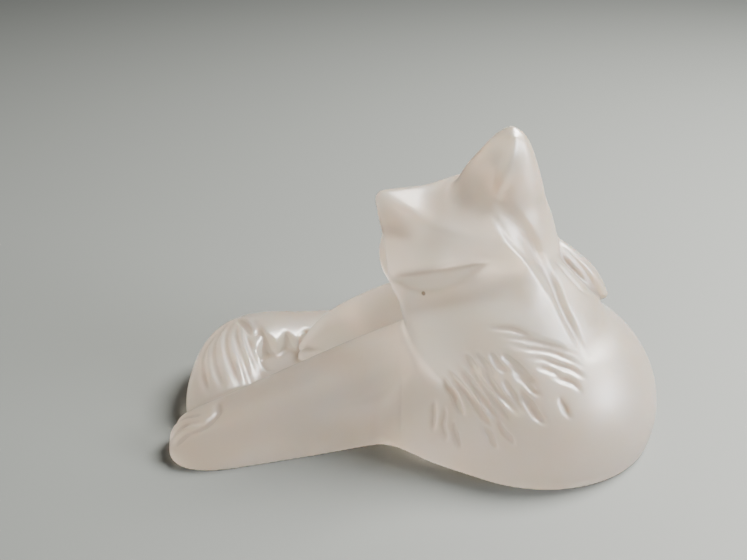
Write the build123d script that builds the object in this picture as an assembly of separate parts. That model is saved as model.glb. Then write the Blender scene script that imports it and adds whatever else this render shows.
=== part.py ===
"""A small reclining fox cast in one piece of crystal glass, ground flat underneath.

Millimetres, +Z up. The fox lies curled in a C. Its chest and forelegs point along -X, its back bows round
through +X, and its tail comes forward again at the far side (+Y) to lie behind the front paws. The head is
raised, turned to look along +Y and rolled, so that one ear stands higher than the other. The origin is the
centre of the footprint, on the ground face.
"""

import os
from math import cos, pi, sin

from build123d import *

os.makedirs("parts", exist_ok=True)

# The head. Its face is placed in the head's own axes, +X to its right ear, +Y forward and +Z up, which are
# then rolled and turned.
HEAD_CENTRE = (12.5, 2.5, 38.5)
HEAD_ROLL = 22.0
HEAD_TURN = 20.0
SKULL_RADII = (16.5, 15.2, 14.0)
# Sections of the muzzle and of the right cheek tuft, from inside the skull out: centre, half width, height.
MUZZLE_STATIONS = (
    ((0.0, 4.0, -3.0), 10.5, 8.5),
    ((0.0, 16.0, -7.7), 6.0, 5.5),
    ((0.0, 26.5, -10.8), 3.4, 3.3),
)
CHEEK_STATIONS = (
    ((9.0, 4.0, -3.0), 7.0, 7.0),
    ((16.0, 3.0, -8.5), 4.6, 4.6),
    ((20.5, 2.0, -13.5), 2.4, 2.4),
)

# The ears, each from its root inside the skull to its tip. The head's roll sets the right one higher.
RIGHT_EAR = ((15.0, 0.0, 44.0), (17.9, -3.0, 64.6))
LEFT_EAR = ((4.5, -1.5, 39.0), (-7.6, -1.6, 51.6))
EAR_HALF_WIDTH = 9.6
EAR_HALF_DEPTH = 7.0
# How far up the ear, and how wide it is there, both as a share of the whole.
EAR_PROFILE = ((0.0, 1.0), (0.55, 0.7), (0.85, 0.38), (1.0, 0.12))

# The body masses, each an ellipsoid (centre, radii) whose lower part the ground face cuts away.
SHOULDERS = ((26.0, -2.0, 6.0), (26.3, 26.8, 24.0))
FLANK = ((24.5, 14.5, 6.0), (23.0, 18.5, 20.0))
HAUNCH = ((4.0, 19.5, 6.0), (17.0, 14.0, 15.0))
HOLLOW_FLOOR = ((-14.0, 6.0, 0.0), (24.0, 14.0, 7.0))

# The neck: round sections from inside the shoulders up into the skull.
NECK_STATIONS = (
    ((24.0, -4.0, 10.0), 21.0, 21.0),
    ((21.0, -3.5, 22.0), 18.5, 18.0),
    ((15.5, 0.5, 34.0), 14.5, 13.5),
    ((13.5, 2.5, 42.0), 9.0, 8.0),
)

# Limbs that lie on the table: (x, y), half width, height above the table.
FORELEG_STATIONS = (
    ((8.0, -2.0), 13.0, 24.5),
    ((-6.0, -3.0), 10.5, 20.0),
    ((-22.0, -8.0), 9.0, 14.0),
    ((-36.0, -13.5), 7.0, 9.5),
    ((-43.3, -15.5), 6.2, 8.2),
)
FAR_FORELEG_STATIONS = (
    ((8.0, 6.0), 7.0, 14.0),
    ((-6.0, 5.0), 5.5, 9.5),
    ((-15.0, 2.5), 4.5, 7.5),
)
TAIL_STATIONS = (
    ((8.0, 26.0), 9.0, 14.0),
    ((-10.0, 26.5), 8.2, 11.0),
    ((-25.0, 21.0), 9.4, 12.2),
    ((-37.0, 11.5), 9.8, 13.8),
    ((-40.8, 0.0), 8.8, 10.0),
    ((-39.5, -7.0), 6.0, 7.0),
)

# The hind leg: round sections that come down from the haunch to the paw.
HIND_LEG_STATIONS = (
    ((4.0, 15.0, 16.0), 8.0, 7.5),
    ((-9.0, 14.0, 11.5), 6.5, 6.5),
    ((-18.0, 11.5, 8.5), 5.0, 4.8),
    ((-22.0, 10.0, 7.5), 4.5, 4.2),
)

# The rounded ends of the limbs, the muzzle and the cheek tufts.
PAW_RADII = (6.7, 6.4, 8.4)
FAR_PAW_RADII = (5.0, 4.8, 7.7)
TAIL_TIP_RADII = (6.2, 6.2, 7.2)
HIND_PAW_RADII = (5.4, 4.7, 4.4)
NOSE_RADII = (3.3, 3.3, 3.2)
CHEEK_TIP_RADII = (2.5, 2.5, 2.5)

SECTION_POINTS = 12
TABLE_TRIM = 400.0


def ellipsoid(centre, radii):
    """An ellipsoid with its axes along X, Y and Z."""
    return Pos(*centre) * scale(Sphere(1.0), by=radii)


def oval_face(half_width, half_height):
    """A flat oval about the origin, in the XY plane."""
    angles = [2 * pi * step / SECTION_POINTS for step in range(SECTION_POINTS)]
    rim = [(half_width * cos(angle), half_height * sin(angle)) for angle in angles]
    return make_face(Spline(rim, periodic=True))


def oval(centre, heading, half_width, half_height):
    """An oval face square to heading, with its width level."""
    level = Vector(0, 0, 1).cross(heading)
    return Plane(origin=centre, x_dir=level, z_dir=heading) * oval_face(half_width, half_height)


def headings(centres):
    """The direction of travel at each centre along a path."""
    last = len(centres) - 1
    return [centres[min(i + 1, last)] - centres[max(i - 1, 0)] for i in range(last + 1)]


def limb(stations, end_radii=None):
    """A smooth limb through oval sections, each given as (centre, half width, half height). end_radii adds a
    rounded end, an ellipsoid about the last centre."""
    centres = [Vector(*station[0]) for station in stations]
    ovals = [
        oval(centre, heading, half_width, half_height)
        for centre, heading, (_, half_width, half_height) in zip(centres, headings(centres), stations)
    ]
    body = loft(ovals)
    if end_radii:
        body = body + ellipsoid(stations[-1][0], end_radii)
    return body


def lying_limb(stations, end_radii):
    """A limb that rests on the table: its sections are centred on the table, which cuts them in half."""
    return limb([((x, y, 0.0), half_width, height) for (x, y), half_width, height in stations], end_radii)


def on_head(shape):
    """Moves a shape from the head's own axes into place."""
    return Pos(*HEAD_CENTRE) * Rot(0, 0, -HEAD_TURN) * Rot(0, -HEAD_ROLL, 0) * shape


def skull():
    """The brow and cheeks, with the muzzle drawn out in front."""
    brow = ellipsoid((0, 0, 0), SKULL_RADII)
    return on_head(brow + limb(MUZZLE_STATIONS, NOSE_RADII))


def cheek(side):
    """A pointed tuft of fur that hangs from the cheek. side is 1 for the right cheek and -1 for the left."""
    stations = []
    for (x, y, z), half_width, half_height in CHEEK_STATIONS:
        stations.append(((side * x, y, z), half_width, half_height))
    return on_head(limb(stations, CHEEK_TIP_RADII))


def ear(root, tip):
    """A pointed ear, widest at its root."""
    root, tip = Vector(*root), Vector(*tip)
    rise = tip - root
    ovals = []
    for height, size in EAR_PROFILE:
        plane = Plane(origin=root + rise * height, x_dir=Vector(1, 0, 0), z_dir=rise)
        ovals.append(plane * oval_face(size * EAR_HALF_WIDTH, size * EAR_HALF_DEPTH))
    return loft(ovals)


def fox():
    """The whole casting, on its ground face, with the origin at the centre of its footprint."""
    masses = [
        ellipsoid(*SHOULDERS),
        ellipsoid(*FLANK),
        ellipsoid(*HAUNCH),
        ellipsoid(*HOLLOW_FLOOR),
        limb(NECK_STATIONS),
        skull(),
        cheek(1),
        cheek(-1),
        ear(*RIGHT_EAR),
        ear(*LEFT_EAR),
        lying_limb(FORELEG_STATIONS, PAW_RADII),
        lying_limb(FAR_FORELEG_STATIONS, FAR_PAW_RADII),
        lying_limb(TAIL_STATIONS, TAIL_TIP_RADII),
        limb(HIND_LEG_STATIONS, HIND_PAW_RADII),
    ]
    whole = masses[0]
    for mass in masses[1:]:
        whole = whole + mass
    above_table = Pos(0, 0, TABLE_TRIM / 2) * Box(TABLE_TRIM, TABLE_TRIM, TABLE_TRIM)
    whole = whole & above_table
    middle = whole.bounding_box().center()
    return Pos(-middle.X, -middle.Y, 0) * whole


if __name__ == "__main__":
    casting = fox()
    box = casting.bounding_box()
    print("overall", [round(side, 1) for side in box.size], "volume", round(casting.volume))
    export_step(casting, "parts/crystal_fox.step")
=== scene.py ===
"""A reclining fox in frosted crystal glass, sculpted as one skin over its CAD casting.

The sculpt is worked out in millimetres, in the casting's own layout: +X from the paws to the back, +Y from
the back of the head to the face, +Z up. It is a block of sampled space that smooth masses are added to and
grooves are cut from. The skin is then meshed, and moved into the CAD frame in metres.

The places marked as traced come from points of the photograph that scratch programs projected onto the
sculpt or onto assumed planes. They were rounded or adjusted, and are not worked out from driving
dimensions. Some of the other places were guided by such points.
"""
from itertools import product
from math import cos, pi, radians, sin, tan

import bmesh
import bpy
import numpy as np
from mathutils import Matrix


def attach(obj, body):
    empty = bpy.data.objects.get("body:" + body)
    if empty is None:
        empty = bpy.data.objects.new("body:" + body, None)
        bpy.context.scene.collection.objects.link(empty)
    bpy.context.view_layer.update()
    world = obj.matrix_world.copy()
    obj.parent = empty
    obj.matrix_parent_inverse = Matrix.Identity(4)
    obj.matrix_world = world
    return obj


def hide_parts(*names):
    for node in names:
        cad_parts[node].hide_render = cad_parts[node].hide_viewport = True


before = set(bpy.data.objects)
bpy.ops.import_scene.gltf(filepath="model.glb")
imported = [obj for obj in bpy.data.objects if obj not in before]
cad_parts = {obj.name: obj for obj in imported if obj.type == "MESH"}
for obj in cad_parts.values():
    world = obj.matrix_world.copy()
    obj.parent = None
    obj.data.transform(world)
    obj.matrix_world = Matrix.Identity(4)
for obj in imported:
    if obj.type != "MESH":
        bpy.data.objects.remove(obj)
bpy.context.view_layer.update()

import openvdb
from mathutils import Vector

CASTING = "crystal_fox"
MM = 0.001
# The middle of the casting's footprint in the sculpt's layout, which the CAD frame has as its origin.
FOOTPRINT_CENTRE = (1.15, 3.85, 0.0)

# The sculpting block: its corners, and the size of its cells.
BLOCK_LOW = (-56.0, -34.0, -2.4)
BLOCK_HIGH = (58.0, 42.0, 69.0)
CELL = 0.42
# The distance that stands for open space, and how far past a shape's box, besides its blend, the block is
# changed.
EMPTY = 40.0
BAND = 2.0
# How far around a place its relief is judged.
RELIEF_REACH = 2.0

# The head's own axes: right ear, muzzle and crown.
HEAD_CENTRE = np.array((12.5, 2.5, 38.5))
HEAD_ROLL = radians(22.0)
HEAD_TURN = radians(20.0)
HEAD_RIGHT = np.array((cos(HEAD_ROLL) * cos(HEAD_TURN), -cos(HEAD_ROLL) * sin(HEAD_TURN), sin(HEAD_ROLL)))
HEAD_FRONT = np.array((sin(HEAD_TURN), cos(HEAD_TURN), 0.0))
HEAD_UP = np.array((-sin(HEAD_ROLL) * cos(HEAD_TURN), sin(HEAD_ROLL) * sin(HEAD_TURN), cos(HEAD_ROLL)))
HEAD_AXES = (HEAD_RIGHT, HEAD_FRONT, HEAD_UP)
LEVEL_AXES = tuple(np.eye(3))


def smooth_min(a, b, blend):
    """The smaller of two distances, rounded over where they are within blend of each other."""
    if blend <= 0:
        return np.minimum(a, b)
    share = np.clip(0.5 + 0.5 * (b - a) / blend, 0, 1)
    return b + (a - b) * share - blend * share * (1 - share)


def smooth_max(a, b, blend):
    """The larger of two distances, rounded in the same way."""
    return -smooth_min(-a, -b, blend)


def ease(t):
    """0 below 0, 1 above 1, and a smooth step between."""
    t = np.clip(t, 0, 1)
    return t * t * (3 - 2 * t)


def curve_through(rows, steps):
    """A smooth open curve through rows of numbers (Catmull-Rom)."""
    rows = np.array(rows, float)
    rows = np.vstack([2 * rows[0] - rows[1], rows, 2 * rows[-1] - rows[-2]])
    out = []
    for i in range(1, len(rows) - 2):
        a, b, c, d = rows[i - 1:i + 3]
        for step in range(steps):
            t = step / steps
            out.append(0.5 * (2 * b + (c - a) * t + (2 * a - 5 * b + 4 * c - d) * t**2
                              + (3 * b - 3 * c + d - a) * t**3))
    out.append(rows[-2])
    return np.array(out)


def ellipsoid(centre, radii, axes=LEVEL_AXES):
    """An ellipsoid with its radii along axes."""
    centre, radii = np.array(centre, float), np.array(radii, float)
    reach = sum(np.abs(axis) * radius for axis, radius in zip(axes, radii))

    def distance(x, y, z):
        x, y, z = x - centre[0], y - centre[1], z - centre[2]
        own = [(a[0] * x + a[1] * y + a[2] * z) / radius for a, radius in zip(axes, radii)]
        size = np.sqrt(sum(q**2 for q in own))
        slope = np.sqrt(sum((q / radius)**2 for q, radius in zip(own, radii))) + 1e-6
        return size * (size - 1) / slope

    return centre - reach, centre + reach, distance


def tube(stations, steps=6):
    """A round limb through (point, radius) stations."""
    rows = [(*point, radius) for point, radius in stations]
    rows = curve_through(rows, steps) if len(rows) > 2 else np.array(rows, float)

    def distance(x, y, z):
        nearest = None
        for a, b in zip(rows, rows[1:]):
            d = b - a
            length = np.linalg.norm(d[:3])
            lean = np.clip(-d[3] / length, -0.9, 0.9)
            along = ((x - a[0]) * d[0] + (y - a[1]) * d[1] + (z - a[2]) * d[2]) / length
            from_axis = np.sqrt(np.maximum((x - a[0])**2 + (y - a[1])**2 + (z - a[2])**2 - along**2, 0))
            t = np.clip((along - from_axis * lean / np.sqrt(1 - lean**2)) / length, 0, 1)
            off = (x - a[0] - t * d[0])**2 + (y - a[1] - t * d[1])**2 + (z - a[2] - t * d[2])**2
            here = np.sqrt(off) - a[3] - d[3] * t
            nearest = here if nearest is None else np.minimum(nearest, here)
        return nearest

    return (rows[:, :3] - rows[:, 3:]).min(0), (rows[:, :3] + rows[:, 3:]).max(0), distance


def loaf(stations, power=2.0, steps=8):
    """A limb that lies on the table: ((x, y), half width, height) stations. Its section is half an oval, with
    steeper sides and a flatter top as power rises."""
    rows = [(*place, width, height) for place, width, height in stations]
    rows = curve_through(rows, steps) if len(rows) > 2 else np.array(rows, float)
    low = (*(rows[:, :2] - rows[:, 2:3]).min(0), 0)
    high = (*(rows[:, :2] + rows[:, 2:3]).max(0), rows[:, 3].max())

    def distance(x, y, z):
        nearest = None
        z = np.abs(z)
        for a, b in zip(rows, rows[1:]):
            d = b - a
            t = np.clip(((x - a[0]) * d[0] + (y - a[1]) * d[1]) / (d[:2] @ d[:2]), 0, 1)
            width, height = a[2] + d[2] * t, a[3] + d[3] * t
            aside = np.sqrt((x - a[0] - t * d[0])**2 + (y - a[1] - t * d[1])**2) + 1e-4
            across, up = aside / width, z / height
            size = (across**power + up**power)**(1 / power)
            slope = size**(1 - power) * np.hypot(across**(power - 1) / width, up**(power - 1) / height)
            here = (size - 1) / (slope + 1e-3)
            nearest = here if nearest is None else smooth_min(nearest, here, 1.0)
        return nearest

    return low, high, distance


def column(stations, cap=3.0, steps=5):
    """An upright mass of oval slices: (height, centre, half widths) stations. Its ends are rounded by cap."""
    rows = curve_through([(height, *centre, *widths) for height, centre, widths in stations], steps)
    heights = rows[:, 0]
    low = (*(rows[:, 1:3] - rows[:, 3:5]).min(0), heights[0])
    high = (*(rows[:, 1:3] + rows[:, 3:5]).max(0), heights[-1])

    def distance(x, y, z):
        cx, cy, wx, wy = (np.interp(z, heights, rows[:, i]).astype(np.float32) for i in range(1, 5))
        dx, dy = (x - cx)**2, (y - cy)**2
        size = np.sqrt(dx / wx**2 + dy / wy**2)
        slope = np.sqrt(dx / wx**4 + dy / wy**4) + 1e-6
        side = np.where(size > 0.3, size * (size - 1) / slope, -5.0)
        return smooth_max(side * 0.93, np.maximum(heights[0] - z, z - heights[-1]), cap)

    return low, high, distance


def facet(a, b, c):
    """The plane through three points, as its outward direction and its offset. Outward is the side from which
    the points run anticlockwise."""
    a, b, c = (np.array(v, float) for v in (a, b, c))
    out = np.cross(b - a, c - a)
    out /= np.linalg.norm(out)
    return out, out @ a


def beyond(plane, x, y, z):
    """How far a place is outside a plane."""
    out, offset = plane
    return out[0] * x + out[1] * y + out[2] * z - offset


def prism(outline, floor, rounding=0.5):
    """Everything above a floor inside an outline drawn in (x, y)."""
    outline = np.array(outline, float)

    def distance(x, y, z):
        shape = np.broadcast(x[:, :, 0], y[:, :, 0]).shape
        x2, y2 = np.broadcast_to(x[:, :, 0], shape), np.broadcast_to(y[:, :, 0], shape)
        best, inside = np.full(shape, EMPTY), np.zeros(shape, bool)
        for a, b in zip(outline, np.roll(outline, -1, axis=0)):
            d = b - a
            t = np.clip(((x2 - a[0]) * d[0] + (y2 - a[1]) * d[1]) / (d @ d), 0, 1)
            best = np.minimum(best, np.hypot(x2 - a[0] - t * d[0], y2 - a[1] - t * d[1]))
            crosses = (a[1] > y2) != (b[1] > y2)
            rises = np.sign(d[1])
            inside ^= crosses & ((x2 - a[0]) * d[1] * rises < (y2 - a[1]) * d[0] * rises)
        wall = np.where(inside, -best, best)[:, :, None]
        return smooth_max(wall, floor - z, rounding).astype(np.float32)

    return (*outline.min(0), floor), (*outline.max(0), BLOCK_HIGH[2]), distance


class Clay:
    """A block of space sampled on a grid, which holds the distance to the surface: negative inside."""

    def __init__(self):
        self.low = np.array(BLOCK_LOW)
        counts = np.ceil((np.array(BLOCK_HIGH) - self.low) / CELL).astype(int) + 1
        self.axes = [np.float32(start + CELL * np.arange(n)) for start, n in zip(self.low, counts)]
        self.field = np.full(counts, EMPTY, np.float32)

    def window(self, low, high, margin):
        """The cells within margin of a box, with their coordinates."""
        cuts = []
        for axis, a, b in zip(self.axes, low, high):
            first = int(np.searchsorted(axis, a - margin))
            cuts.append(slice(first, int(np.searchsorted(axis, b + margin, side="right"))))
        x, y, z = (axis[cut] for axis, cut in zip(self.axes, cuts))
        return tuple(cuts), x[:, None, None], y[None, :, None], z[None, None, :]

    def add(self, shape, blend=0.0):
        low, high, distance = shape
        cuts, x, y, z = self.window(low, high, blend + BAND)
        self.field[cuts] = smooth_min(self.field[cuts], distance(x, y, z), blend)

    def cut(self, shape, blend=0.0):
        low, high, distance = shape
        cuts, x, y, z = self.window(low, high, blend + BAND)
        self.field[cuts] = smooth_max(self.field[cuts], -distance(x, y, z), blend)

    def cell(self, value, axis):
        """The index of the cell at a coordinate, kept one cell inside the block."""
        return int(np.clip(round((value - self.low[axis]) / CELL), 1, self.field.shape[axis] - 2))

    def behind(self, x, z):
        """The surface point first met from behind the fox at (x, z), and the way out of the glass there."""
        i, k = self.cell(x, 0), self.cell(z, 2)
        return self.outward(i, int(np.argmax(self.field[i, :, k] < 0)), k)

    def above(self, x, y):
        """The surface point first met from above at (x, y), and the way out of the glass there."""
        i, j = self.cell(x, 0), self.cell(y, 1)
        return self.outward(i, j, self.field.shape[2] - 1 - int(np.argmax(self.field[i, j, ::-1] < 0)))

    def facing(self, x, z):
        """The surface point first met by looking the fox in the face at (x, z) of its head."""
        for step in np.arange(42.0, 0.0, -CELL):
            cell = tuple(self.cell(value, axis) for axis, value in enumerate(on_head(x, step, z)))
            if self.field[cell] < 0:
                break
        return self.outward(*cell)

    def outward(self, i, j, k):
        """The surface point nearest a cell, and the way out of the glass there."""
        f = self.field
        slope = np.array([f[i + 1, j, k] - f[i - 1, j, k], f[i, j + 1, k] - f[i, j - 1, k],
                          f[i, j, k + 1] - f[i, j, k - 1]], float)
        out = slope / (np.linalg.norm(slope) + 1e-9)
        return self.low + CELL * np.array([i, j, k]) - out * f[i, j, k], out

    def groove(self, places, radius, depth, blend=0.3, taper=0.0):
        """Carves a round-bottomed groove along surface places, shallower at its ends by the share taper."""
        stations = []
        for n, (point, out) in enumerate(places):
            middle = 1 - taper * (2 * n / (len(places) - 1) - 1)**2
            stations.append((point + out * (radius - depth * middle), radius))
        self.cut(tube(stations), blend)

    def valley(self, rows, blend=1.0):
        """Carves a groove of changing width: ((x, z), radius, depth) rows, seen from behind."""
        stations = []
        for (x, z), radius, depth in rows:
            point, out = self.behind(x, z)
            stations.append((point + out * (radius - depth), radius))
        self.cut(tube(stations), blend)

    def hairs(self, strokes, radius, depth):
        """Carves strokes of fur, each (start, end, bow) in (x, z) from behind. They fade out at both ends."""
        carved = []
        for start, end, bow in strokes:
            start, end = np.array(start, float), np.array(end, float)
            aside = np.array((end[1] - start[1], start[0] - end[0])) / np.hypot(*(end - start))
            shares = (0, 0.25, 0.5, 0.75, 1)
            line = [start + (end - start) * t + aside * bow * 4 * t * (1 - t) for t in shares]
            carved.append([self.behind(x, z) for x, z in line])
        for places in carved:
            self.groove(places, radius, depth, 0.2, 1.0)

    def lip(self, edge, height, fade, taper=0.25, width=0.9):
        """Raises a lip along an edge drawn in (x, z) from behind. It steps up at the edge, on the right-hand
        side of the way the edge runs, and fades away over the distance fade."""
        points = curve_through(edge, 6)
        runs = np.concatenate([[0], np.cumsum(np.hypot(*np.diff(points, axis=0).T))])
        runs /= runs[-1]
        low, high = points.min(0) - fade, points.max(0) + fade
        cuts, x, y, z = self.window((low[0], BLOCK_LOW[1], low[1]), (high[0], 1.0, high[1]), 0)
        x, z = x[:, 0, :], z[:, 0, :]
        shape = np.broadcast(x, z).shape
        best, inward, along = np.full(shape, EMPTY), np.zeros(shape), np.zeros(shape)
        for a, b, start, end in zip(points, points[1:], runs, runs[1:]):
            d = b - a
            length = np.hypot(*d)
            t = np.clip(((x - a[0]) * d[0] + (z - a[1]) * d[1]) / length**2, 0, 1)
            off = np.hypot(x - a[0] - t * d[0], z - a[1] - t * d[1])
            side = np.sign((x - a[0]) * d[1] - (z - a[1]) * d[0])
            near = off < best
            best = np.where(near, off, best)
            inward = np.where(near, side * off, inward)
            along = np.where(near, start + (end - start) * t, along)
        rise = ease(inward / width) * (1 - ease(inward / fade))
        rise = rise * ease(along / taper) * ease((1 - along) / taper)
        self.field[cuts] -= (height * rise)[:, None, :].astype(np.float32)


def on_head(x, y, z):
    """A place in the head's own axes, as a place in the sculpt."""
    return HEAD_CENTRE + x * HEAD_RIGHT + y * HEAD_FRONT + z * HEAD_UP


# The masses of the body, each with its centre and radii.
BACK = ((25.2, -2.4, 6.0), (25.8, 27.2, 23.0))
FLANK = ((24.5, 15.5, 6.0), (23.3, 20.5, 19.5))
HAUNCH = ((7.0, 21.0, 6.0), (18.0, 15.0, 16.5))


def add_body(clay):
    """The round back, the flank and the haunch."""
    clay.add(ellipsoid(*BACK))
    clay.add(ellipsoid(*FLANK), blend=1.5)
    clay.add(ellipsoid(*HAUNCH), blend=4.0)


# The near foreleg: the shoulder's centre and radii, the bar and the ridge along it. Traced points guided the
# bar and the ridge.
SHOULDER = ((9.0, -8.0, 3.0), (13.0, 12.0, 16.0))
FORELEG = (
    ((8, -1.5), 10, 25), ((-8, -3.8), 9.0, 19.2), ((-23, -8.3), 9.0, 13.8), ((-38, -13.6), 7.9, 9.0),
    ((-42.8, -15.1), 6.7, 7.4),
)
FORELEG_RIDGE = (
    ((-2, -7.0, 15.4), 4.4), ((-23, -12.0, 10.5), 3.7), ((-36, -16.4, 6.6), 3.0), ((-41, -18.0, 5.0), 2.6),
)


def add_foreleg(clay):
    """The near foreleg, a flat-sided bar from the shoulder to the paw."""
    clay.add(ellipsoid(*SHOULDER), blend=6.0)
    clay.add(loaf(FORELEG, power=2.8), blend=6.0)
    clay.add(tube(FORELEG_RIDGE), blend=1.6)


FAR_FORELEG = (((8, 5), 7, 12), ((-12, 3.0), 5.5, 10.6), ((-25, 1.5), 4.6, 10.4))


def add_far_foreleg(clay):
    """The far foreleg, low in the hollow behind the near one."""
    clay.add(loaf(FAR_FORELEG), blend=1.0)


NECK = (
    (8, (26, -4), (23, 21)), (20, (20.2, -3.5), (21, 19)), (30, (16.6, -1.5), (20.2, 16.5)),
    (38, (12.8, 1), (17.0, 14.5)), (45, (12.5, 2), (12, 10)),
)


def add_neck(clay):
    """The thick neck, upright from the back to the head."""
    clay.add(column(NECK), blend=1.6)


# The head's masses in its own axes: the skull's radii, and the (place, radius) stations of the others.
SKULL_RADII = (16.3, 15.0, 13.6)
MUZZLE = (((0, 5, -3), 10.0), ((0, 14.5, -6.5), 6.4), ((0, 25.5, -10.5), 3.9))
JAW = (((0, 8, -9), 6.0), ((0, 22.5, -13.0), 2.6))
LEFT_CHEEK_ROOT = (((-9, 4, -3), 7.0), ((-14.0, 4, -8), 4.3), ((-17.5, 3, -12.5), 1.4))


def add_head(clay):
    """The skull, the muzzle, the lower jaw and the root of the left cheek."""
    clay.add(ellipsoid(on_head(0, 0, 0), SKULL_RADII, HEAD_AXES), blend=3.0)
    for stations, blend in ((MUZZLE, 4.0), (JAW, 1.6), (LEFT_CHEEK_ROOT, 2.5)):
        clay.add(tube([(on_head(*place), radius) for place, radius in stations]), blend)


# The lines of both cheeks' fur. Traced.
RIGHT_CHEEK = (
    ((25.2, 0.5, 40.6), 1.8), ((30.0, -0.8, 36.3), 3.0), ((34.4, -0.8, 32.2), 3.1), ((38.6, -0.8, 28.6), 1.2),
)
LEFT_CHEEK = (
    ((-4.6, 1.5, 42.5), 1.2), ((-5.4, 1.8, 37.5), 1.6), ((-5.2, 1.8, 33.8), 1.4), ((-4.0, 1.5, 30.5), 1.0),
)


def add_right_cheek(clay):
    """The long tuft of fur that stands out behind the right cheek."""
    clay.add(tube(RIGHT_CHEEK), blend=0.4)


def add_left_cheek(clay):
    """The thin edge of the left cheek, which shows past the neck."""
    clay.add(tube(LEFT_CHEEK), blend=0.8)


# The right ear: its sections, its cup's centre and radii, and the ridge down its back, seen from behind, with
# the ridge's radii. The sections and the ridge are traced.
RIGHT_EAR = (
    (41.0, (14.6, -0.5), (11.0, 9.0)), (46.0, (15.6, -1.2), (10.2, 8.0)), (51.3, (16.0, -2.0), (9.0, 6.6)),
    (56.3, (16.5, -2.6), (7.0, 5.0)), (60.5, (17.3, -3.0), (4.6, 3.5)), (63.0, (17.7, -3.0), (2.7, 2.2)),
    (64.5, (17.9, -3.0), (0.6, 0.6)),
)
RIGHT_EAR_CUP = ((17.2, 4.4, 54.0), (4.8, 5.0, 8.4))
RIGHT_EAR_RIDGE = ((18.0, 62.6), (17.4, 60.2), (16.6, 57.4), (15.4, 53.6))
RIDGE_RADII = (0.7, 0.9, 0.9, 0.5)
RIDGE_SUNK = 0.5


def add_right_ear(clay):
    """The right ear, with its cup in front and a ridge down its back."""
    clay.add(column(RIGHT_EAR, cap=0.4), blend=3.0)
    clay.cut(ellipsoid(*RIGHT_EAR_CUP), blend=1.2)
    ridge = [clay.behind(x, z) for x, z in RIGHT_EAR_RIDGE]
    stations = [(point - RIDGE_SUNK * out, radius) for (point, out), radius in zip(ridge, RIDGE_RADII)]
    clay.add(tube(stations), blend=1.2)


# The corners of the left ear's flat faces: its tip, and the ends of its ridge, its lower edge and its crest.
# Traced, then adjusted.
EAR_TIP = (-9.2, -2.0, 52.0)
EAR_RIDGE_END = (13.5, -13.0, 41.0)
EAR_LOWER_END = (-5.2, -4.5, 34.0)
EAR_CREST_END = (5.6, 4.0, 51.6)
EAR_FRONT = (-1.0, 6.5, 38.0)
# How far the ear reaches from its tip, and how much the ledge under it tilts outward.
EAR_REACH = 22.0
LEDGE_SLOPE = 0.7
# The ear's cup: the ways along the ear and out of it, how far its middle lies from the tip along both, and
# its radii.
CUP_ALONG = np.array((0.72, 0.30, -0.62))
CUP_OUT = np.array((-0.58, 0.80, -0.29))
CUP_MIDDLE = (9.5, 2.6)
CUP_RADII = (7.5, 4.2, 4.2)


def add_left_ear(clay):
    """The left ear, a broad flat-faced spike. Its back runs on over the side of the head as a flat face,
    which ends at a ledge of fur."""
    back = facet(EAR_TIP, EAR_LOWER_END, EAR_RIDGE_END)
    top = facet(EAR_TIP, EAR_RIDGE_END, EAR_CREST_END)
    side = facet(EAR_TIP, EAR_FRONT, EAR_LOWER_END)
    front = facet(EAR_TIP, EAR_CREST_END, EAR_FRONT)
    tip = np.array(EAR_TIP)
    ledge_line = np.array(EAR_RIDGE_END) - np.array(EAR_LOWER_END)
    ledge = np.cross(back[0], ledge_line)
    ledge = ledge / np.linalg.norm(ledge) + LEDGE_SLOPE * back[0]
    ledge /= np.linalg.norm(ledge)
    ledge = (ledge, ledge @ np.array(EAR_LOWER_END))

    def spike(x, y, z):
        faces = smooth_max(beyond(back, x, y, z), beyond(top, x, y, z), 2.0)
        faces = smooth_max(faces, smooth_max(beyond(side, x, y, z), beyond(front, x, y, z), 1.5), 2.0)
        away = np.sqrt((x - tip[0])**2 + (y - tip[1])**2 + (z - tip[2])**2)
        return smooth_max(faces, away - EAR_REACH, 3.0)

    def outside_back(x, y, z):
        return smooth_max(-beyond(back, x, y, z), -beyond(ledge, x, y, z), 0.3)

    low, high = tip - EAR_REACH, tip + EAR_REACH
    clay.add((low, high, spike), 3.0)
    clay.cut((low, high, outside_back), 0.8)
    cup = tip + CUP_MIDDLE[0] * CUP_ALONG + CUP_MIDDLE[1] * CUP_OUT
    clay.cut(ellipsoid(cup, CUP_RADII, (CUP_ALONG, CUP_OUT, np.cross(CUP_ALONG, CUP_OUT))), 1.0)


# The fur's edge behind the right cheek, the valley beside it and the crease across the neck, seen from
# behind. Traced.
MANE_EDGE = (
    (14.0, 50.0), (15.7, 47.4), (17.8, 44.8), (20.8, 41.6), (23.3, 38.4), (25.4, 35.4), (26.8, 32.8),
)
MANE_VALLEY = (
    ((16.2, 51.0), 3.0, 0.1), ((19.6, 46.3), 3.0, 0.5), ((23.2, 41.0), 2.4, 0.7), ((26.2, 36.0), 1.6, 0.8),
    ((28.2, 31.5), 1.2, 0.8), ((30.4, 27.0), 1.2, 0.5), ((33.0, 23.4), 1.4, -0.4),
)
COLLAR_CREASE = (((-1, 28.5), 5, -0.2), ((3.5, 31.5), 5, 0.1), ((10, 33.5), 5, 0.1), ((18, 34.3), 5, -0.3))


def shape_mane(clay):
    """The fur's edge, the valley that runs beside it down to the shoulder, and the crease across the neck."""
    clay.lip(MANE_EDGE, height=0.9, fade=7.0)
    clay.valley(MANE_VALLEY, 0.8)
    clay.valley(COLLAR_CREASE, 1.5)


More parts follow.
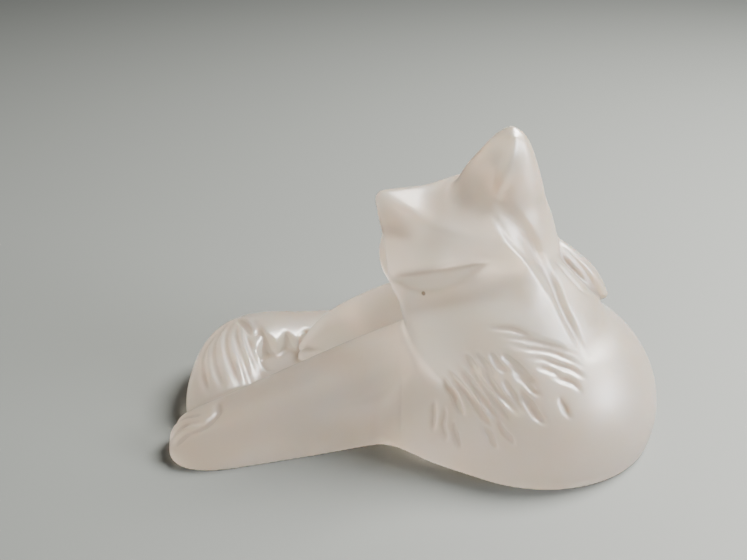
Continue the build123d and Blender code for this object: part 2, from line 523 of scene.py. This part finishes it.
# Strokes of fur, seen from behind: start, end and bow. Most are traced.
LONG_HAIRS = (
    ((12.0, 23.2), (19.6, 15.2), 0.6), ((9.9, 22.6), (18.0, 13.4), 0.4), ((8.2, 22.2), (17.0, 12.4), 0.4),
    ((6.2, 20.8), (15.8, 10.6), 0.3), ((14.6, 14.4), (18.4, 9.8), 0.2), ((17.8, 23.0), (23.4, 18.8), 0.4),
    ((16.4, 21.4), (20.6, 15.6), 0.3), ((13.9, 25.4), (17.6, 21.8), 0.3), ((11.4, 25.2), (15.4, 20.6), 0.3),
    ((9.2, 24.4), (12.0, 21.2), 0.2), ((5.2, 18.6), (9.6, 12.6), 0.2), ((12.6, 12.6), (15.6, 8.6), 0.2),
)
DEEP_HAIRS = (((18.8, 20.6), (24.2, 14.4), 0.5), ((16.0, 25.8), (22.8, 20.4), 0.4))
SWEPT_HAIRS = (
    ((15.2, 28.4), (30.4, 24.0), -0.8), ((17.2, 26.8), (31.2, 22.2), -0.9),
    ((20.6, 24.4), (31.8, 20.6), -0.9), ((25.4, 21.4), (31.0, 19.2), -0.6),
    ((13.4, 29.6), (24.0, 27.4), -0.5), ((22.6, 22.6), (27.6, 21.2), -0.5),
)
SHORT_HAIRS = (
    ((26.8, 18.6), (28.8, 15.2), 0.2), ((4.0, 13.6), (3.8, 7.6), 0.4),
    ((5.8, 13.2), (6.0, 6.6), 0.4), ((7.4, 11.6), (8.6, 5.6), 0.3),
)


def carve_ruff(clay):
    clay.hairs(LONG_HAIRS, radius=0.8, depth=0.95)
    clay.hairs(DEEP_HAIRS, radius=1.0, depth=1.2)
    clay.hairs(SWEPT_HAIRS, radius=0.75, depth=0.6)
    clay.hairs(SHORT_HAIRS, radius=0.7, depth=0.6)


# Strokes on the tuft behind the right cheek, drawn in the same way. Traced, then adjusted.
CHEEK_HAIRS = (
    ((26.4, 39.6), (36.0, 29.8), 0.5), ((27.4, 39.8), (37.2, 29.6), 0.0), ((28.8, 39.6), (38.2, 29.4), -0.5),
)


def carve_cheek(clay):
    clay.hairs(CHEEK_HAIRS, radius=0.5, depth=0.4)


# The grooves between the toes of the near paw, seen from above. The last one curls up round the wrist.
# Traced, then adjusted.
TOE_GROOVES = (
    ((-49.0, -13.4), (-46.0, -14.2), (-43.4, -15.0)), ((-49.4, -16.4), (-46.0, -16.9), (-42.8, -17.1)),
    ((-47.6, -19.2), (-44.6, -19.4), (-41.8, -18.9), (-40.2, -17.4), (-39.4, -15.4), (-39.8, -13.0)),
)


def carve_toes(clay):
    lines = [[clay.above(x, y) for x, y in line] for line in TOE_GROOVES]
    for line in lines:
        clay.groove(line, radius=0.9, depth=0.8, blend=0.5, taper=0.5)


# The hind leg's (place, radius) stations, and its toes' places along +Y and their heights. Traced points
# guided both.
HIND_LEG = (
    ((4, 16, 16), 9.0), ((-7, 14.0, 14.8), 7.0), ((-14.0, 12.4, 12.8), 6.0), ((-18.5, 11.2, 11.4), 4.4),
    ((-21.5, 10.6, 10.4), 2.6),
)
HIND_TOES = ((7.8, 9.6), (10.4, 10.4), (12.8, 10.8))


def add_hind_leg(clay):
    """The hind leg over the hollow, and the three toes of its paw."""
    clay.add(tube(HIND_LEG), blend=1.0)
    for y, height in HIND_TOES:
        clay.add(tube((((-18.5, y, height), 1.7), ((-23.4, y - 0.4, height - 0.2), 1.4))), blend=0.4)


TAIL = (
    ((10, 26.5), 9.3, 12), ((-8, 26.5), 8.4, 9.6), ((-22, 20.2), 10.4, 11.6), ((-35.6, 13.5), 10.4, 14.2),
    ((-39.4, 2), 9.0, 11.4), ((-39.3, -5), 7, 8),
)
WEB = (((2, 8), 14, 9), ((-24, 8), 12, 10.0), ((-34, 2), 9, 8))


def add_tail(clay):
    """The tail, which sweeps from the haunch round the hollow towards the near foreleg."""
    clay.add(loaf(TAIL, power=2.6), blend=1.0)


def add_web(clay):
    """The low glass that joins the tail to the legs, which the hollow is cut into."""
    clay.add(loaf(WEB, power=4.0), blend=1.0)


# The hollow between the tail and the legs: its jagged edge follows the tips of the tail's fur. That edge was
# traced, then redrawn with fewer teeth.
HOLLOW = (
    (-33.5, 5.0), (-31.8, 9.8), (-29.4, 8.6), (-27.8, 12.2), (-25.4, 11.0), (-23.4, 14.8), (-19.0, 14.0),
    (-14.0, 8.0), (-14.0, 3.5), (-24.0, 1.5), (-31.0, 0.5),
)
HOLLOW_FLOOR = 8.6

# Grooves between the locks of the tail, seen from above. Traced, then spaced out.
TAIL_LOCKS = (
    ((-42.2, 13.5), (-45.0, 7.4), (-44.8, 0.4), (-42.6, -6.5)),
    ((-40.8, 15.6), (-42.8, 8.6), (-42.2, 1), (-39.8, -5.8)),
    ((-39.6, 16.4), (-40.6, 9), (-39.2, 1.6), (-36.4, -5)),
    ((-38.2, 16), (-38.4, 9), (-36.4, 2), (-33.4, -4.4)),
    ((-36.4, 14), (-36.0, 8.6), (-33.8, 2.4), (-30.8, -3)),
)
TAIL_NOTCHES = (((-38.6, 16.6), (-36.4, 12.2), (-34.2, 8.2)), ((-35.2, 14.6), (-33.6, 11.0), (-32.2, 8.4)))


def carve_tail(clay):
    clay.cut(prism(HOLLOW, HOLLOW_FLOOR), 0.6)
    for lock in TAIL_LOCKS:
        clay.groove([clay.above(x, y) for x, y in lock], radius=1.1, depth=0.65, blend=0.4, taper=0.9)
    for notch in TAIL_NOTCHES:
        clay.groove([clay.above(x, y) for x, y in notch], radius=1.1, depth=1.1, blend=0.4, taper=0.8)


# Lines on the right half of the face, at (x, z) of the head.
EYE_LINE = ((4.4, -2.2), (6.2, -0.4), (8.4, 0.8), (10.4, 1.4))
MOUTH_LINE = ((1.0, -12.6), (3.0, -13.4), (5.0, -12.8), (7.4, -11.2))
BROW_LINE = ((3.6, 0.6), (6.2, 3.2), (9.4, 4.4))


def add_face(clay):
    """Almond eyes under a slanting brow, a nose and a mouth."""
    clay.add(ellipsoid(on_head(0, 28.9, -9.0), (2.6, 2.0, 2.0), HEAD_AXES), 0.5)
    for side in (-1, 1):
        eye = [clay.facing(side * x, z) for x, z in EYE_LINE]
        mouth = [clay.facing(side * x, z) for x, z in MOUTH_LINE]
        brow = [clay.facing(side * x, z) for x, z in BROW_LINE]
        clay.groove(eye, radius=1.8, depth=1.1, blend=0.4, taper=0.7)
        clay.groove(mouth, radius=0.7, depth=0.6, blend=0.3, taper=0.5)
        ball, out = eye[1]
        outer, _ = eye[2]
        clay.add(ellipsoid((ball + outer) / 2 - 1.0 * out, (1.7, 1.5, 1.3), HEAD_AXES), 0.2)
        clay.add(tube([(point - 0.3 * away, 0.9) for point, away in brow]), 1.2)
        clay.cut(ellipsoid(on_head(side * 1.3, 30.6, -9.3), (0.6, 0.7, 0.45), HEAD_AXES), 0.3)


def grind_flat(clay):
    """Cuts the underside flat at the table, with a small eased edge."""
    height = clay.axes[2][None, None, :]
    clay.field[:] = smooth_max(clay.field, -height, 0.3)


def sculpt():
    """The whole fox, in the order in which its masses and grooves depend on each other."""
    clay = Clay()
    for step in (add_body, add_foreleg, add_far_foreleg, add_neck, add_head, add_right_cheek, add_left_cheek,
                 add_right_ear, add_left_ear, shape_mane, carve_ruff, carve_cheek, carve_toes, add_tail,
                 add_web, carve_tail, add_hind_leg, add_face, grind_flat):
        step(clay)
    return clay


def relief_at(field, cells):
    """How far the surface stands proud of its surroundings at places given in cells, in millimetres. It is
    below 0 in a crease."""
    around = np.clip(field, -RELIEF_REACH, RELIEF_REACH)
    taps = round(RELIEF_REACH / CELL / 2)
    for axis in (0, 1, 2, 0, 1, 2):
        around = sum(np.roll(around, step, axis) for step in range(-taps, taps + 1)) / (2 * taps + 1)
    base = np.floor(cells).astype(int)
    share = cells - base
    relief = np.zeros(len(cells))
    for corner in product((0, 1), repeat=3):
        weight = np.where(corner, share, 1 - share).prod(axis=1)
        relief += weight * around[tuple((base + corner).T)]
    return relief


def skin_mesh(clay):
    """The sculpt's surface as a mesh in the CAD frame, in metres, with its relief as an attribute."""
    grid = openvdb.FloatGrid()
    grid.copyFromArray(clay.field)
    cells, triangles, quads = grid.convertToPolygons(0.0, 0.0)
    points = (cells * CELL + clay.low - np.array(FOOTPRINT_CENTRE)) * MM
    mesh = bpy.data.meshes.new(CASTING + "_skin")
    mesh.from_pydata(points.tolist(), [], quads.tolist() + triangles.tolist())
    skin = bmesh.new()
    skin.from_mesh(mesh)
    bmesh.ops.recalc_face_normals(skin, faces=skin.faces)
    skin.to_mesh(mesh)
    skin.free()
    relief = mesh.attributes.new("relief", "FLOAT", "POINT")
    relief.data.foreach_set("value", relief_at(clay.field, cells.astype(float)).astype(np.float32))
    mesh.shade_smooth()
    return mesh


class Nodes:
    """Short ways to add and link the nodes of one material."""

    def __init__(self, name):
        self.material = bpy.data.materials.new(name)
        self.material.use_nodes = True
        self.tree = self.material.node_tree
        self.shader = self.tree.nodes["Principled BSDF"]

    def add(self, kind, inputs=(), **settings):
        node = self.tree.nodes.new(kind)
        for name, value in settings.items():
            setattr(node, name, value)
        for socket, value in inputs:
            if isinstance(value, bpy.types.NodeSocket):
                self.tree.links.new(value, node.inputs[socket])
            else:
                node.inputs[socket].default_value = value
        return node

    def noise(self, where, size_mm, detail=3.0):
        """Cloudy noise from 0 to 1, with features of about size_mm."""
        scale = 1 / (size_mm * MM)
        inputs = (("Vector", where), ("Scale", scale), ("Detail", detail))
        return self.add("ShaderNodeTexNoise", inputs).outputs["Fac"]

    def ramp(self, value, low, high, to_low, to_high):
        """Maps low..high to to_low..to_high, and holds the ends."""
        inputs = (("Value", value), ("From Min", low), ("From Max", high), ("To Min", to_low),
                  ("To Max", to_high))
        return self.add("ShaderNodeMapRange", inputs).outputs["Result"]

    def blend(self, share, low, high):
        """A colour between low and high."""
        return self.add("ShaderNodeMix", ((0, share), (6, low), (7, high)), data_type="RGBA").outputs[2]

    def wire(self, socket, value):
        self.tree.links.new(value, self.shader.inputs[socket])


# The glass's two milky tints, and the painted shade colour for its creases.
MILK_WARM = (0.93, 0.79, 0.64, 1)
MILK_COOL = (0.94, 0.85, 0.77, 1)
CREASE_PAINTED_SHADE = (0.66, 0.56, 0.47, 1)
# The one dark speck, in the neck. Its place is traced.
SPECK_TINT = (0.10, 0.06, 0.04, 1)
SPECK_PLACE = (1.4, -11.5, 33.7)
SPECK_RADIUS = 0.6
# The sizes of the glass's clouds, frost, grain and ripples, in millimetres.
CLOUD_SIZE = 14.0
FROST_SIZE = 1.2
GRAIN_SIZE = 0.35
RIPPLE_SIZE = 6.0
# The roughness of the frost, and how much smoother the ridges are. Their sum stays at 0.30 or above.
SATIN_LOW = 0.38
SATIN_HIGH = 0.45
RIDGE_POLISH = -0.08
# The relief, in millimetres, over which the painted shade of a crease fades out and over which a ridge turns
# smoother.
CREASE_RELIEF = (-0.16, -0.02)
RIDGE_RELIEF = (0.04, 0.20)
# The parts of the noise's range in which the clouds and the frost change.
CLOUD_RANGE = (0.35, 0.65)
FROST_RANGE = (0.3, 0.7)
# How strongly the grain and the ripples roughen the surface, and how deeply, in metres.
GRAIN_STRENGTH = 0.10
GRAIN_DEPTH = 0.00003
RIPPLE_STRENGTH = 0.25
RIPPLE_DEPTH = 0.0004
# How much the glass bends and passes light, and how far the rest scatters inside it: shares for red, green
# and blue of a reach in metres.
GLASS_IOR = 1.54
CLEARNESS = 0.93
SCATTER_RADIUS = (1.0, 0.8, 0.62)
SCATTER_SCALE = 0.004


def frosted_crystal():
    """Milky glass with a satin surface, more polished on its ridges, with painted shade that darkens its
    creases, and with one small dark speck in the neck."""
    nodes = Nodes("frosted_crystal")
    where = nodes.add("ShaderNodeTexCoord").outputs["Object"]
    relief = nodes.add("ShaderNodeAttribute", attribute_name="relief").outputs["Fac"]
    clouds = nodes.noise(where, CLOUD_SIZE)
    milk = nodes.blend(nodes.ramp(clouds, *CLOUD_RANGE, 0.0, 1.0), MILK_WARM, MILK_COOL)
    # Painted shade: the creases are darkened towards a grey-brown colour, as far as their relief sinks.
    crease_shade_share = nodes.ramp(relief, *CREASE_RELIEF, 1.0, 0.0)
    milk_and_painted_shade = nodes.blend(crease_shade_share, milk, CREASE_PAINTED_SHADE)
    speck = (Vector(SPECK_PLACE) - Vector(FOOTPRINT_CENTRE)) * MM
    away = nodes.add("ShaderNodeVectorMath", ((0, where), (1, speck)), operation="DISTANCE").outputs["Value"]
    in_speck = nodes.ramp(away, 0.6 * SPECK_RADIUS * MM, SPECK_RADIUS * MM, 1.0, 0.0)
    nodes.wire("Base Color", nodes.blend(in_speck, milk_and_painted_shade, SPECK_TINT))
    frost = nodes.noise(where, FROST_SIZE, 4.0)
    polish = nodes.ramp(relief, *RIDGE_RELIEF, 0.0, RIDGE_POLISH)
    satin = nodes.ramp(frost, *FROST_RANGE, SATIN_LOW, SATIN_HIGH)
    roughness = nodes.add("ShaderNodeMath", ((0, satin), (1, polish)), operation="ADD").outputs["Value"]
    nodes.wire("Roughness", roughness)
    grain = nodes.noise(where, GRAIN_SIZE, 2.0)
    ripple = nodes.noise(where, RIPPLE_SIZE, 1.0)
    inputs = (("Strength", GRAIN_STRENGTH), ("Distance", GRAIN_DEPTH), ("Height", grain))
    fine = nodes.add("ShaderNodeBump", inputs).outputs["Normal"]
    inputs = (("Strength", RIPPLE_STRENGTH), ("Distance", RIPPLE_DEPTH), ("Height", ripple), ("Normal", fine))
    nodes.wire("Normal", nodes.add("ShaderNodeBump", inputs).outputs["Normal"])
    shader = nodes.shader
    shader.inputs["IOR"].default_value = GLASS_IOR
    shader.inputs["Subsurface Weight"].default_value = 1.0
    shader.inputs["Subsurface Radius"].default_value = SCATTER_RADIUS
    shader.inputs["Subsurface Scale"].default_value = SCATTER_SCALE
    shader.inputs["Transmission Weight"].default_value = CLEARNESS
    return nodes.material


def make_fox():
    fox = bpy.data.objects.new("fox_skin", skin_mesh(sculpt()))
    bpy.context.scene.collection.objects.link(fox)
    fox.data.materials.append(frosted_crystal())
    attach(fox, "root")
    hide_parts(CASTING)


# The camera: behind the fox and above it, looking along +Y. A scratch program worked its place out from where
# the photograph shows one point of the fox, and from an assumed pitch, width of view and distance.
CAMERA_PITCH = radians(25.0)
CAMERA_WIDE = radians(40.0)
CAMERA_PLACE = (-8.2, -190.2, 119.9)
FILM_WIDTH = 36.0


def make_camera():
    data = bpy.data.cameras.new("camera")
    data.sensor_width = FILM_WIDTH
    data.lens = FILM_WIDTH / 2 / tan(CAMERA_WIDE / 2)
    data.clip_start = 0.01
    camera = bpy.data.objects.new("camera", data)
    camera.location = (Vector(CAMERA_PLACE) - Vector(FOOTPRINT_CENTRE)) * MM
    camera.rotation_euler = (pi / 2 - CAMERA_PITCH, 0, 0)
    bpy.context.scene.collection.objects.link(camera)
    bpy.context.scene.camera = camera


# The floor, in metres. Its own colour is a dark grey, which the strong lights show as a pale one.
FLOOR_REACH = 3.0
FLOOR_COLOUR = (0.062, 0.068, 0.065, 1)
FLOOR_ROUGHNESS = 0.7


def make_floor():
    reach = FLOOR_REACH
    mesh = bpy.data.meshes.new("floor")
    corners = [(-reach, -reach, 0), (reach, -reach, 0), (reach, reach, 0), (-reach, reach, 0)]
    mesh.from_pydata(corners, [], [(0, 1, 2, 3)])
    floor = bpy.data.objects.new("floor", mesh)
    bpy.context.scene.collection.objects.link(floor)
    material = bpy.data.materials.new("pale_floor")
    material.use_nodes = True
    shader = material.node_tree.nodes["Principled BSDF"]
    shader.inputs["Base Color"].default_value = FLOOR_COLOUR
    shader.inputs["Roughness"].default_value = FLOOR_ROUGHNESS
    floor.data.materials.append(material)


# The lights, in metres: place, size, watts and colour. Both are aimed at the fox.
KEY_LIGHT = ((0.32, 0.12, 0.46), 0.30, 30.0, (1.0, 0.96, 0.90))
FILL_LIGHT = ((0.55, -0.20, 0.26), 0.30, 14.0, (0.97, 0.97, 1.0))
LIGHT_AIM = (0.0, 0.0, 0.02)
ROOM_COLOUR = (0.92, 0.96, 1.0, 1)
ROOM_STRENGTH = 0.15


def area_light(name, place, size, watts, colour):
    data = bpy.data.lights.new(name, "AREA")
    data.shape = "DISK"
    data.size = size
    data.energy = watts
    data.color = colour
    light = bpy.data.objects.new(name, data)
    light.location = place
    light.rotation_mode = "QUATERNION"
    light.rotation_quaternion = (Vector(LIGHT_AIM) - Vector(place)).to_track_quat("-Z", "Y")
    bpy.context.scene.collection.objects.link(light)


def light_the_scene():
    world = bpy.data.worlds.new("studio")
    bpy.context.scene.world = world
    world.use_nodes = True
    background = world.node_tree.nodes["Background"]
    background.inputs["Color"].default_value = ROOM_COLOUR
    background.inputs["Strength"].default_value = ROOM_STRENGTH
    area_light("key", *KEY_LIGHT)
    area_light("fill", *FILL_LIGHT)


make_camera()
make_floor()
light_the_scene()
make_fox()

bpy.context.view_layer.update()
